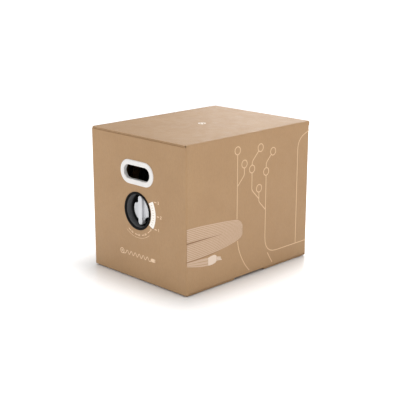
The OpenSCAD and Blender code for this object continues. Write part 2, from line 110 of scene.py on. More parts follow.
# ---------------------------------------------------------------- camera, lights and floor
def camera():
    """The photograph's viewing angle, from a fit of the box's corners."""
    back = Vector((math.sin(AZIMUTH) * math.cos(ELEVATION), -math.cos(AZIMUTH) * math.cos(ELEVATION),
                   math.sin(ELEVATION)))
    data = bpy.data.cameras.new("camera")
    data.lens, data.sensor_width = CAMERA_LENS, 36
    data.clip_start, data.clip_end = 0.05, 50
    cam = bpy.data.objects.new("camera", data)
    cam.location = CAMERA_TARGET + back * CAMERA_DISTANCE
    cam.rotation_euler = (-back).to_track_quat("-Z", "Y").to_euler()
    bpy.context.scene.collection.objects.link(cam)
    bpy.context.scene.camera = cam


def area_light(name, location, target, size, power):
    data = bpy.data.lights.new(name, "AREA")
    data.shape, data.size, data.size_y = "RECTANGLE", size[0], size[1]
    data.energy = power
    lamp = bpy.data.objects.new(name, data)
    lamp.location = location
    lamp.rotation_euler = (Vector(location) - Vector(target)).to_track_quat("Z", "Y").to_euler()
    bpy.context.scene.collection.objects.link(lamp)


def studio():
    """Even light from all round that looks plain white behind the floor, and soft lamps."""
    world = bpy.data.worlds.new("studio")
    world.use_nodes = True
    nodes, links = world.node_tree.nodes, world.node_tree.links
    nodes["Background"].inputs["Color"].default_value = (1, 1, 1, 1)
    seen = nodes.new("ShaderNodeLightPath").outputs["Is Camera Ray"]
    extra = maths(nodes, links, "MULTIPLY", seen, 1 - WORLD)
    links.new(maths(nodes, links, "ADD", extra, WORLD), nodes["Background"].inputs["Strength"])
    bpy.context.scene.world = world
    bpy.context.scene.view_settings.view_transform = "Standard"
    for lamp in LAMPS:
        area_light(*lamp)
    floor_plane()


def floor_plane():
    """A pale floor with painted light: it glows more the further it lies outside the carton's plan, so that
    it turns to plain white away from the object.
    """
    bpy.ops.mesh.primitive_plane_add(size=80, location=(0, 0, FLOOR_Z))
    floor = bpy.context.object
    floor.name = "floor"
    mat, nodes, links, bsdf = new_material("floor_white")
    bsdf.inputs["Base Color"].default_value = (0.88, 0.88, 0.88, 1)
    bsdf.inputs["Roughness"].default_value = 0.25
    place = nodes.new("ShaderNodeTexCoord").outputs["Object"]
    # distance outside the carton's plan
    for operation, value in (("ABSOLUTE", None), ("SUBTRACT", (RIGHT_X, BACK_Y, 1)), ("MAXIMUM", (0, 0, 0))):
        step = nodes.new("ShaderNodeVectorMath")
        step.operation = operation
        links.new(place, step.inputs[0])
        if value:
            step.inputs[1].default_value = value
        place = step.outputs["Vector"]
    length = nodes.new("ShaderNodeVectorMath")
    length.operation = "LENGTH"
    links.new(place, length.inputs[0])
    # painted light: the floor's glow, from none at the carton to full at GLOW_REACH outside it
    glow = map_range(nodes, links, length.outputs["Value"], (0, GLOW_REACH), (0, FLOOR_GLOW))
    bsdf.inputs["Emission Color"].default_value = (1, 1, 1, 1)
    links.new(glow, bsdf.inputs["Emission Strength"])
    floor.data.materials.append(mat)


# ---------------------------------------------------------------- material helpers
def linear(r, g, b):
    """A colour given as 0 to 255 display values, as the linear colour that shaders take."""
    return tuple(((c / 255 + 0.055) / 1.055) ** 2.4 if c > 10 else c / 255 / 12.92 for c in (r, g, b)) + (1,)


def new_material(name):
    mat = bpy.data.materials.new(name)
    mat.use_nodes = True
    tree = mat.node_tree
    return mat, tree.nodes, tree.links, tree.nodes["Principled BSDF"]


def place_in(nodes, links, stretch):
    """Object coordinates, which are the row frame's own, stretched along the axes."""
    coords = nodes.new("ShaderNodeTexCoord")
    mapping = nodes.new("ShaderNodeMapping")
    mapping.inputs["Scale"].default_value = stretch
    links.new(coords.outputs["Object"], mapping.inputs["Vector"])
    return mapping.outputs["Vector"]


def map_range(nodes, links, value, given, to):
    """Spreads the values from given[0] to given[1] over to[0] to to[1], and stops at the ends."""
    node = nodes.new("ShaderNodeMapRange")
    for key, number in zip(("From Min", "From Max", "To Min", "To Max"), (*given, *to)):
        node.inputs[key].default_value = number
    links.new(value, node.inputs["Value"])
    return node.outputs["Result"]


def noise(nodes, links, scale, detail=4, rough=0.55, stretch=(1, 1, 1), low=0.3, high=0.7, to=(0, 1)):
    """Noise with the range low to high spread over to[0] to to[1]."""
    tex = nodes.new("ShaderNodeTexNoise")
    tex.inputs["Scale"].default_value = scale
    tex.inputs["Detail"].default_value = detail
    tex.inputs["Roughness"].default_value = rough
    links.new(place_in(nodes, links, stretch), tex.inputs["Vector"])
    return map_range(nodes, links, tex.outputs["Fac"], (low, high), to)


def along_axis(nodes, links, vector, axis):
    """One coordinate of a vector, with the axis given as 0, 1 or 2."""
    split = nodes.new("ShaderNodeSeparateXYZ")
    links.new(vector, split.inputs[0])
    return split.outputs[axis]


def wave(nodes, links, axis, pitch):
    """A sine across the surface along one axis of the row frame, from -1 to 1."""
    place = along_axis(nodes, links, place_in(nodes, links, (1, 1, 1)), axis)
    return maths(nodes, links, "SINE", maths(nodes, links, "MULTIPLY", place, TAU / pitch))


def maths(nodes, links, operation, a, b=0.0):
    node = nodes.new("ShaderNodeMath")
    node.operation = operation
    for socket, value in zip(node.inputs, (a, b)):
        if isinstance(value, (int, float)):
            socket.default_value = value
        else:
            links.new(value, socket)
    return node.outputs[0]


def blend_colour(nodes, links, factor, a, b):
    """Mixes two colours, whose sockets on a Mix node are 6 and 7, and the result's 2."""
    node = nodes.new("ShaderNodeMix")
    node.data_type = "RGBA"
    for socket, value in ((node.inputs["Factor"], factor), (node.inputs[6], a), (node.inputs[7], b)):
        if isinstance(value, tuple):
            socket.default_value = value
        else:
            links.new(value, socket)
    return node.outputs[2]


def shade(colour, factor):
    """A linear colour made darker or lighter, with its alpha kept at one."""
    return tuple(min(1, c * factor) for c in colour[:3]) + (1,)


def bump(nodes, links, bsdf, height, distance):
    node = nodes.new("ShaderNodeBump")
    node.inputs["Distance"].default_value = distance
    node.inputs["Strength"].default_value = 1.0
    links.new(height, node.inputs["Height"])
    links.new(node.outputs["Normal"], bsdf.inputs["Normal"])


# ---------------------------------------------------------------- materials
def kraft(name, light, dark, across):
    """Kraft liner: cloudy pulp, fibres, flecks, and the faint washboard of the flutes across one axis."""
    mat, nodes, links, bsdf = new_material(name)
    along = {"X": (1, 3.5, 0.35), "Y": (3.5, 1, 0.35), "Z": (1, 1, 1)}[across]
    cloud = noise(nodes, links, 9, 5, 0.6, low=0.25, high=0.75)
    colour = blend_colour(nodes, links, cloud, dark, light)
    fibre = noise(nodes, links, 420, 6, 0.7, along, 0.42, 0.72, (0, 0.30))
    colour = blend_colour(nodes, links, fibre, colour, shade(dark, 0.72))
    fleck = noise(nodes, links, 1300, 2, 0.5, (1, 1, 0.5), 0.66, 0.80, (0, 0.45))
    colour = blend_colour(nodes, links, fleck, colour, shade(light, 1.35))
    links.new(colour, bsdf.inputs["Base Color"])
    links.new(noise(nodes, links, 60, 4, to=(0.50, 0.62)), bsdf.inputs["Roughness"])
    bsdf.inputs["Specular IOR Level"].default_value = 0.5
    ridges = maths(nodes, links, "MULTIPLY", wave(nodes, links, "XYZ".index(across), FLUTE_PITCH), 0.18)
    pulp = noise(nodes, links, 700, 5, 0.7, along, to=(0, 0.5))
    bump(nodes, links, bsdf, maths(nodes, links, "ADD", ridges, pulp), 0.00016)
    return mat


def moulded(name, colour, rough, grain=0.00003, coat=0.0):
    """Moulded plastic: a fine spark-eroded grain and a slight unevenness of colour and gloss."""
    mat, nodes, links, bsdf = new_material(name)
    patches = noise(nodes, links, 35, 3)
    links.new(blend_colour(nodes, links, patches, shade(colour, 0.94), colour), bsdf.inputs["Base Color"])
    links.new(noise(nodes, links, 90, 3, to=(rough * 0.85, rough * 1.15)), bsdf.inputs["Roughness"])
    bsdf.inputs["Coat Weight"].default_value = coat
    bsdf.inputs["Coat Roughness"].default_value = 0.08
    bump(nodes, links, bsdf, noise(nodes, links, 2600, 3, 0.6), grain)
    return mat


def cup_plastic(name):
    """Black plastic of the dial's cup: a polished dark lip and floor, and a wall painted greyer with a
    slight mottle, which is painted light on the wall.
    """
    mat, nodes, links, bsdf = new_material(name)
    across = along_axis(nodes, links, place_in(nodes, links, (1, 1, 1)), 1)
    depth = maths(nodes, links, "SUBTRACT", across, FRONT_Y)
    # painted light: a mask of the wall between lip and floor, painted greyer and fading back to the black
    # plastic towards both
    under_lip = map_range(nodes, links, depth, (0.4 * MM, 3.0 * MM), (0, 1))
    over_floor = map_range(nodes, links, depth, (RECESS_DEPTH - 1 * MM, RECESS_DEPTH - 7 * MM), (0, 1))
    wall = maths(nodes, links, "MULTIPLY", under_lip, over_floor)
    mottle = noise(nodes, links, 150, 3, to=(0, 0.15))
    painted_lit_grey = blend_colour(nodes, links, mottle, (0.128, 0.129, 0.134, 1), (0.080, 0.081, 0.085, 1))
    links.new(blend_colour(nodes, links, wall, (0.003, 0.003, 0.003, 1), painted_lit_grey), bsdf.inputs["Base Color"])
    links.new(noise(nodes, links, 90, 3, to=(0.40, 0.50)), bsdf.inputs["Roughness"])
    bsdf.inputs["Specular IOR Level"].default_value = 0.07
    bump(nodes, links, bsdf, noise(nodes, links, 2600, 3, 0.6), 0.00002)
    return mat


def steel(name, colour, rough, along):
    """Drawn or brushed steel: fine scratches along the given stretch, with dull patches."""
    mat, nodes, links, bsdf = new_material(name)
    bsdf.inputs["Metallic"].default_value = 1.0
    scratch = noise(nodes, links, 1500, 4, 0.6, along)
    links.new(blend_colour(nodes, links, scratch, shade(colour, 0.82), colour), bsdf.inputs["Base Color"])
    links.new(noise(nodes, links, 120, 4, to=(rough * 0.75, rough * 1.3)), bsdf.inputs["Roughness"])
    bump(nodes, links, bsdf, scratch, 0.00002)
    return mat


def plywood(name):
    """Birch plywood: long grain on the faces and stacked plies on the edges."""
    mat, nodes, links, bsdf = new_material(name)
    grain = noise(nodes, links, 55, 6, 0.65, (1, 9, 0.7))
    face = blend_colour(nodes, links, grain, linear(176, 139, 96), linear(206, 172, 128))
    pores = noise(nodes, links, 260, 3, 0.6, (1, 10, 0.5), 0.55, 0.8, (0, 0.5))
    face = blend_colour(nodes, links, pores, face, linear(140, 104, 68))
    plies = maths(nodes, links, "GREATER_THAN", wave(nodes, links, 0, 2 * MM), 0.0)
    edge = blend_colour(nodes, links, plies, linear(150, 112, 74), linear(198, 164, 120))
    normal = along_axis(nodes, links, nodes.new("ShaderNodeNewGeometry").outputs["Normal"], 0)
    facing = maths(nodes, links, "GREATER_THAN", maths(nodes, links, "ABSOLUTE", normal), 0.5)
    links.new(blend_colour(nodes, links, facing, edge, face), bsdf.inputs["Base Color"])
    links.new(noise(nodes, links, 80, 3, to=(0.55, 0.75)), bsdf.inputs["Roughness"])
    bump(nodes, links, bsdf, grain, 0.00008)
    return mat


def jacket(name):
    """Black cable jacket: extruded, slightly dusty, with fine drag marks."""
    mat, nodes, links, bsdf = new_material(name)
    dust = noise(nodes, links, 45, 5, 0.6)
    links.new(blend_colour(nodes, links, dust, (0.018, 0.018, 0.019, 1), (0.040, 0.040, 0.042, 1)),
              bsdf.inputs["Base Color"])
    links.new(noise(nodes, links, 150, 4, to=(0.34, 0.55)), bsdf.inputs["Roughness"])
    bump(nodes, links, bsdf, noise(nodes, links, 900, 4), 0.00004)
    return mat


def felt(name):
    mat, nodes, links, bsdf = new_material(name)
    fibres = noise(nodes, links, 1400, 5, 0.75)
    links.new(blend_colour(nodes, links, fibres, (0.02, 0.022, 0.022, 1), (0.07, 0.075, 0.075, 1)),
              bsdf.inputs["Base Color"])
    bsdf.inputs["Roughness"].default_value = 0.95
    bsdf.inputs["Sheen Weight"].default_value = 0.5
    bump(nodes, links, bsdf, fibres, 0.0004)
    return mat


def ink(name, colour, under, wear):
    """Screen-printed ink on kraft: the pulp shows through in fine pinholes."""
    mat, nodes, links, bsdf = new_material(name)
    holes = noise(nodes, links, 1100, 4, 0.7, low=0.50, high=0.78, to=(0, wear))
    patch = noise(nodes, links, 80, 3, to=(0, wear * 0.3))
    links.new(blend_colour(nodes, links, maths(nodes, links, "ADD", holes, patch), colour, under),
              bsdf.inputs["Base Color"])
    links.new(noise(nodes, links, 300, 3, to=(0.62, 0.8)), bsdf.inputs["Roughness"])
    bump(nodes, links, bsdf, holes, 0.00003)
    return mat


def tape_paper(name):
    """Crepe tape: fine ridges across its length."""
    mat, nodes, links, bsdf = new_material(name)
    creases = noise(nodes, links, 500, 4, 0.6, (0.15, 1, 1))
    links.new(blend_colour(nodes, links, creases, linear(205, 198, 180), linear(232, 227, 212)),
              bsdf.inputs["Base Color"])
    links.new(noise(nodes, links, 200, 3, to=(0.5, 0.7)), bsdf.inputs["Roughness"])
    bump(nodes, links, bsdf, creases, 0.00012)
    return mat


KRAFT_LIGHT, KRAFT_DARK = linear(177, 141, 101), linear(169, 133, 94)
INSIDE_LIGHT, INSIDE_DARK = linear(170, 134, 100), linear(159, 123, 90)


# ---------------------------------------------------------------- mesh helpers
def smooth_by_angle(mesh, degrees=32):
    """Smooth shading with hard edges kept where two faces meet at more than the angle."""
    bm = bmesh.new()
    bm.from_mesh(mesh)
    bmesh.ops.recalc_face_normals(bm, faces=bm.faces)
    limit = math.radians(degrees)
    for face in bm.faces:
        face.smooth = True
    for edge in bm.edges:
        edge.smooth = len(edge.link_faces) == 2 and edge.calc_face_angle(0) < limit
    bm.to_mesh(mesh)
    bm.free()


def piece(name, shell, material, body, replaces=(), angle=32):
    """A new mesh piece in the row frame."""
    mesh = bpy.data.meshes.new(name)
    mesh.from_pydata([tuple(v) for v in shell.verts], [], shell.faces)
    mesh.materials.append(material)
    smooth_by_angle(mesh, angle)
    obj = bpy.data.objects.new(name, mesh)
    bpy.context.scene.collection.objects.link(obj)
    if body:
        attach(obj, body)
    if replaces:
        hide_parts(*replaces)
    return obj


def bevelled(obj, width, segments=3, angle=35):
    modifier = obj.modifiers.new("bevel", "BEVEL")
    modifier.width, modifier.segments = width, segments
    modifier.limit_method, modifier.angle_limit = "ANGLE", math.radians(angle)
    return obj


def basis(origin, u, v, n):
    """The matrix that carries (u, v, n) coordinates on a panel to the row frame."""
    turn = Matrix((Vector(u), Vector(v), Vector(n))).transposed().to_4x4()
    return Matrix.Translation(Vector(origin)) @ turn


def flat_at(z, out=1):
    """Carries an outline in X and Y, or X and -Y, to a height."""
    return basis((0, 0, z), (1, 0, 0), (0, out, 0), (0, 0, 1))


def along_y(out=1):
    """Carries a cross path (distance out in X, height) to the row frame and runs it along Y."""
    return basis((0, 0, 0), (out, 0, 0), (0, 0, 1), (0, 1, 0))


def along_x(out=1):
    """Carries a cross path (distance out in Y, height) to the row frame and runs it along X."""
    return basis((0, 0, 0), (0, out, 0), (0, 0, 1), (1, 0, 0))


def rectangle(left, bottom, right, top):
    return [(left, bottom), (right, bottom), (right, top), (left, top)]


def lerp(first, second, t):
    """The curve that lies a share t of the way from one curve to another."""
    return [(u1 + (u2 - u1) * t, v1 + (v2 - v1) * t) for (u1, v1), (u2, v2) in zip(first, second)]


class Shell:
    """Vertices and faces that several closed shapes are added to."""

    def __init__(self):
        self.verts, self.faces = [], []

    def add(self, verts, faces):
        start = len(self.verts)
        self.verts += [Vector(v) for v in verts]
        self.faces += [tuple(start + i for i in face) for face in faces]

    def prism(self, outline, low, high, matrix=None):
        """A flat outline (u, v) made solid between two heights."""
        n = len(outline)
        verts = [Vector((u, v, h)) for h in (low, high) for u, v in outline]
        if matrix:
            verts = [matrix @ v for v in verts]
        faces = [tuple(range(n))[::-1], tuple(range(n, 2 * n))]
        faces += [(i, (i + 1) % n, n + (i + 1) % n, n + i) for i in range(n)]
        self.add(verts, faces)

    def ribbon(self, rows, closed_rows=False):
        """Quads between rows of equal length, each row a closed ring; open ends are capped."""
        n = len(rows[0])
        faces = []
        count = len(rows)
        for i in range(count if closed_rows else count - 1):
            a, b = i * n, ((i + 1) % count) * n
            faces += [(a + j, a + (j + 1) % n, b + (j + 1) % n, b + j) for j in range(n)]
        if not closed_rows:
            faces += [tuple(range(n))[::-1], tuple(range((count - 1) * n, count * n))]
        self.add([v for row in rows for v in row], faces)


def arc(cx, cy, r, start, end, steps):
    """Points on an arc, with the angles in degrees."""
    return [(cx + r * math.cos(math.radians(start + (end - start) * i / steps)),
             cy + r * math.sin(math.radians(start + (end - start) * i / steps))) for i in range(steps + 1)]


def revolve(profile, matrix, segments):
    """Turns a closed (radius, height) profile into a closed ring about the matrix's third axis."""
    rows = [[matrix @ Vector((r * math.cos(a), r * math.sin(a), h)) for r, h in profile]
            for a in (TAU * i / segments for i in range(segments))]
    shell = Shell()
    shell.ribbon(rows, closed_rows=True)
    return shell


# ---------------------------------------------------------------- corrugated board
def span_across(outline, at, axis):
    """Where a line at a value of one axis crosses a convex outline on the other axis."""
    hits = []
    for (a, b) in zip(outline, outline[1:] + outline[:1]):
        if (a[axis] - at) * (b[axis] - at) <= 0 and a[axis] != b[axis]:
            t = (at - a[axis]) / (b[axis] - a[axis])
            hits.append(a[1 - axis] + t * (b[1 - axis] - a[1 - axis]))
    return min(hits), max(hits)


def corrugated(name, outline, matrix, flutes, body, node, material):
    """A board of two liners and a fluted middle. The flutes run along u or v of the outline."""
    shell = Shell()
    shell.prism(outline, 0, LINER, matrix)
    shell.prism(outline, BOARD - LINER, BOARD, matrix)
    axis = 0 if flutes == "v" else 1
    inset, paper = 0.35 * MM, 0.15 * MM
    low, high = min(p[axis] for p in outline) + inset, max(p[axis] for p in outline) - inset
    swing = BOARD / 2 - LINER - paper
    steps = max(8, int((high - low) / FLUTE_PITCH * 10))
    rows = []
    for i in range(steps + 1):
        at = low + (high - low) * i / steps
        a, b = span_across(outline, at, axis)
        height = BOARD / 2 + swing * math.sin(TAU * (at - low) / FLUTE_PITCH)
        corners = rectangle(a + inset, height - paper, b - inset, height + paper)
        rows.append([matrix @ (Vector((at, c, h)) if axis == 0 else Vector((c, at, h))) for c, h in corners])
    shell.ribbon(rows)
    for at in (low, high - 2 * paper):
        a, b = span_across(outline, at, axis)
        strip = [(at, a + inset), (at + 2 * paper, a + inset), (at + 2 * paper, b - inset), (at, b - inset)]
        strip = strip if axis == 0 else [(v, u) for u, v in strip]
        shell.prism(strip, LINER, BOARD - LINER, matrix)
    piece(name, shell, material, body, (node,), 40)


def slanted(left, right, start, end, straight, slant):
    """A flap's outline from its crease at v = start to its free edge at v = end, with slanting corners."""
    turn = start + (end - start) * straight
    return [(left, start), (right, start), (right, turn), (right - slant, end), (left + slant, end),
            (left, turn)]


def crease(name, path, ends, matrix, material, body=None, bend=None):
    """The outer liner over a fold: a strip on the left of a cross path (u, v), run between two ends."""
    thickness, steps = 0.4 * MM, 24
    inner = []
    for i, p in enumerate(path):
        before, after = path[max(i - 1, 0)], path[min(i + 1, len(path) - 1)]
        du, dv = after[0] - before[0], after[1] - before[1]
        length = math.hypot(du, dv)
        inner.append((p[0] - dv / length * thickness, p[1] + du / length * thickness))
    ring = path + inner[::-1]
    rows = [[matrix @ Vector((u, v, ends[0] + (ends[1] - ends[0]) * i / steps)) for u, v in ring]
            for i in range(steps + 1)]
    shell = Shell()
    shell.ribbon(rows)
    obj = piece(name, shell, material, body, (), 50)
    if bend:
        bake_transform(obj)


# ---------------------------------------------------------------- the carton
def repaint(node, material):
    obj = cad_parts[node]
    obj.data.materials.clear()
    obj.data.materials.append(material)


def carton(kraft_x, kraft_y, inside_x, inside_y):
    """The panels: some keep their CAD mesh, and the ones with edges that show get flutes."""
    for node, material in (("front_panel", kraft_x), ("back_panel", kraft_x), ("right_panel", kraft_y),
                           ("glue_tab", inside_x), ("bottom_flap_left", inside_y),
                           ("bottom_flap_right", inside_y)):
        repaint(node, material)

    low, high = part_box("left_panel")
    corrugated("left_wall", rectangle(low.y, low.z, high.y, high.z),
               basis((high.x, 0, 0), (0, 1, 0), (0, 0, 1), (-1, 0, 0)), "v", "carton", "left_panel", kraft_y)

    for name in ("front", "back"):
        low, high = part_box("bottom_flap_" + name)
        corrugated("floor_flap_" + name, rectangle(low.x, low.y, high.x, high.y), flat_at(low.z), "v",
                   "carton", "bottom_flap_" + name, kraft_x)


def lid(kraft_y):
    """The lid's board, and the liner up the right panel, round the hinge's corner and on to the lid."""
    soft = 3.2 * MM
    low, high = LID_LOW, LID_HIGH
    corrugated("lid_board", rectangle(low.x, low.y, high.x - soft, high.y), flat_at(low.z), "u",
               "lid", "lid_panel", kraft_y)
    path = [(RIGHT_X + SKIN, low.z - 7 * MM), (RIGHT_X + SKIN, low.z - 3 * MM)]
    path += arc(RIGHT_X - soft, high.z + SKIN - soft, soft + SKIN, 0, 90, 12)
    path += [(RIGHT_X - soft - 5 * MM, high.z + SKIN)]
    crease("lid_crease", path, (low.y + 0.4 * MM, high.y - 0.4 * MM), along_y(), kraft_y,
           bend=("carton", "lid", (RIGHT_X, 0, low.z), (RIGHT_X - soft, 0, high.z)))


def dust_flaps(kraft_x):
    """The dust flaps under the lid, each with the liner over its crease."""
    fold_r, top_skin, run_in = 2.4 * MM, 0.35 * MM, 5 * MM
    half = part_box("support_insert_right")[1].x - BOARD - 0.1 * MM
    wall = -FRONT_Y + SKIN
    bend = wall - fold_r
    for name, out in (("front", -1), ("back", 1)):
        low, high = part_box("dust_flap_" + name)
        near, far = (low.y, high.y) if out < 0 else (high.y, low.y)
        outline = slanted(low.x, high.x, near * out, far * out, DUST_STRAIGHT, DUST_SLANT)
        corrugated("dust_flap_board_" + name, outline, flat_at(low.z, out), "v", "dust_" + name,
                   "dust_flap_" + name, kraft_x)
        top = high.z + top_skin
        path = [(wall, top - fold_r - 6 * MM), (wall, top - fold_r - 3 * MM)]
        path += arc(bend, top - fold_r, fold_r, 0, 90, 10)
        path += [(bend - run_in * i / 4, top) for i in range(1, 5)]
        crease("dust_crease_" + name, path, (-half, half), along_x(out), kraft_x,
               bend=("carton", "dust_" + name, (0, out * bend, top), (0, out * (bend - run_in), top)))


def tuck_flap(kraft_y):
    """The leaning flap on the lid's free edge, and the liner over that edge and down the flap."""
    low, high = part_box("tuck_flap")
    pivot = Vector((low.x + 0.1 * MM, 0, high.z + 0.2 * MM))
    lean = math.radians(TUCK_LEAN)
    down = Vector((math.sin(lean), 0, -math.cos(lean)))
    across = Vector((math.cos(lean), 0, math.sin(lean)))
    length = (high.z - low.z) / math.cos(lean)
    outline = slanted(low.y, high.y, 0.8 * MM, length, 0.4, 14 * MM)
    corrugated("tuck_board", outline, basis(pivot, (0, 1, 0), down, across), "v", "tuck", "tuck_flap",
               kraft_y)
    turn = 2.4 * MM
    edge = LID_LOW.x - SKIN
    path = [(edge + turn + 5 * MM, LID_HIGH.z + SKIN), (edge + turn, LID_HIGH.z + SKIN)]
    path += arc(edge + turn, LID_HIGH.z + SKIN - turn, turn, 90, 180, 8)
    path += [(pivot.x + down.x * d - SKIN, pivot.z + down.z * d) for d in (1 * MM, 4 * MM, 8 * MM)]
    crease("tuck_crease", path, (low.y + 1 * MM, high.y - 1 * MM), along_y(), kraft_y,
           bend=("lid", "tuck", (edge, 0, LID_LOW.z + 1 * MM), (edge, 0, LID_LOW.z - 3 * MM)))


def under_fold(wall, under, turn, rise, inner_end):
    """The cross path of a fold under a wall, from its inner end out and up the wall."""
    path = [(wall, under + turn + rise), (wall, under + turn + 1 * MM)]
    path += arc(wall - turn, under + turn, turn, 0, -90, 10)
    path += [(inner_end, under)]
    return path[::-1]


def bottom_creases(kraft_x, kraft_y):
    """The rounded folds under the panels, where the bottom flaps start."""
    for name, out in (("left", -1), ("right", 1)):
        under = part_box("bottom_flap_" + name)[0].z - SKIN
        wall, turn = RIGHT_X + SKIN, 2.8 * MM
        path = under_fold(wall, under, turn, 4 * MM, wall - turn - 4 * MM)
        crease("bottom_crease_" + name, path, (FRONT_Y + BOARD, BACK_Y - BOARD), along_y(out), kraft_y,
               "carton")
    for name, out in (("front", -1), ("back", 1)):
        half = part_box("bottom_flap_" + name)[1].x
        path = under_fold(BACK_Y + SKIN, 0, 3.4 * MM, 5 * MM, BACK_Y - BOARD)
        crease("bottom_crease_" + name, path, (-half, half), along_x(out), kraft_x, "carton")


# ---------------------------------------------------------------- white oval rims
def stadium(straight, steps=20):
    """Stations round an oval: the place along its mid line and the outward angle."""
    half = straight / 2
    stations = [(half, math.radians(-90 + 180 * i / steps)) for i in range(steps)]
    stations += [(half - straight * i / 8, math.radians(90)) for i in range(8)]
    stations += [(-half, math.radians(90 + 180 * i / steps)) for i in range(steps)]
    stations += [(-half + straight * i / 8, math.radians(270)) for i in range(8)]
    return stations


def swept_oval(profile, straight, matrix):
    shell = Shell()
    shell.ribbon([[matrix @ Vector((cx + r * math.cos(a), r * math.sin(a), h)) for r, h in profile]
                  for cx, a in stadium(straight)], closed_rows=True)
    return shell


def rim_profile(rim_r, open_r, proud, reach):
    """Half a section through a domed rim and its sleeve: distance from the mid line, and height."""
    inner, outer = 1.5 * MM, 2.1 * MM
    profile = [(rim_r, -SINK)] + arc(rim_r - outer, 0, outer, 8, 84, 8)
    profile += [(open_r + OVAL_RIM * 0.5, proud), (open_r + inner + 1 * MM, proud)]
    profile += arc(open_r + inner, proud - inner, inner, 88, 180, 7)
    profile += [(open_r, 0), (open_r + 0.15 * MM, -reach + 0.6 * MM), (open_r + 0.7 * MM, -reach)]
    profile += [(open_r + SLEEVE - 0.8 * MM, -reach), (open_r + SLEEVE, -reach + 0.8 * MM)]
    return profile + [(open_r + SLEEVE, -SINK)]


def snap_ring(straight, ring_in, thick, matrix):
    """The ring that snaps on a sleeve behind the panel, with tabs above and below."""
    ring_out = ring_in + 5.9 * MM
    section = [(ring_in, 0), (ring_out - 0.5 * MM, 0), (ring_out, 0.5 * MM), (ring_out, thick * 0.6),
               (ring_out - 2 * MM, thick * 0.7), (ring_in + 1.6 * MM, thick), (ring_in, thick)]
    shell = swept_oval(section, straight, matrix)
    for x in (-straight / 2, 0, straight / 2):
        for side in (-1, 1):
            a, b = side * (ring_in + 1.2 * MM), side * (ring_out + 1.4 * MM)
            tab = [(x - 4 * MM, a), (x + 4 * MM, a), (x + 3 * MM, b), (x - 3 * MM, b)]
            shell.prism(tab, 0.1 * MM, thick * 0.9, matrix)
    return shell


def oval_rims(white, natural):
    """The domed rims of the outlet and the hand hole, and the snap rings behind the panels."""
    low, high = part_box("outlet_bezel")
    rim_r = (high.z - low.z) / 2
    straight = high.x - low.x - 2 * rim_r
    open_r = rim_r - OVAL_RIM
    profile = rim_profile(rim_r, open_r, FRONT_Y - low.y, high.y - FRONT_Y)
    for name, y, out in (("outlet", FRONT_Y, -1), ("handle", BACK_Y, 1)):
        shell = swept_oval(profile, straight, basis((0, y, OVAL.z), (-out, 0, 0), (0, 0, 1), (0, out, 0)))
        piece(name + "_rim", shell, white, "carton", (name + "_bezel",))
        low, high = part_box(name + "_retainer")
        back = basis((0, low.y if out < 0 else high.y, OVAL.z), (out, 0, 0), (0, 0, 1), (0, -out, 0))
        shell = snap_ring(straight, open_r + SLEEVE + 0.1 * MM, high.y - low.y, back)
        bevelled(piece(name + "_snap_ring", shell, natural, "carton",
                       (name + "_retainer",)), 0.25 * MM, 2)


# ---------------------------------------------------------------- dial
def dial_cup(gloss):
    """The black recess: a rolled lip, a wall that steps in, a rounded floor and a bore for the spindle."""
    low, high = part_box("dial_housing")
    rim_r, rise, depth = (high.x - low.x) / 2, FRONT_Y - low.y, high.y - FRONT_Y
    recess_r = rim_r - 5.8 * MM
    wall_r = recess_r - 0.7 * MM
    floor_h = -RECESS_DEPTH
    wall, fillet = 2 * MM, 2.4 * MM
    profile = [(rim_r, 0)] + arc(rim_r - rise, 0, rise, 6, 80, 8)
    profile += [(recess_r + 2.4 * MM, rise), (recess_r + 1.4 * MM, rise - 0.05 * MM)]
    profile += arc(recess_r + 1.2 * MM, rise - 1.2 * MM, 1.2 * MM, 80, 180, 7)
    profile += [(recess_r, -2.4 * MM), (wall_r, -3.0 * MM), (wall_r, floor_h + fillet)]
    profile += arc(wall_r - fillet, floor_h + fillet, fillet, -8, -90, 6)
    profile += [(13 * MM, floor_h), (12.6 * MM, floor_h - 0.5 * MM), (SPINDLE_BORE, floor_h - 0.5 * MM)]
    profile += [(SPINDLE_BORE, -depth), (8.5 * MM, -depth), (8.5 * MM, floor_h - 2.5 * MM)]
    profile += [(recess_r + wall, floor_h - 2.5 * MM), (recess_r + wall, -SINK)]
    shell = revolve(profile, basis((DIAL.x, FRONT_Y, DIAL.z), (1, 0, 0), (0, 0, 1), (0, -1, 0)), 128)
    piece("dial_cup", shell, gloss, "carton", ("dial_housing",))


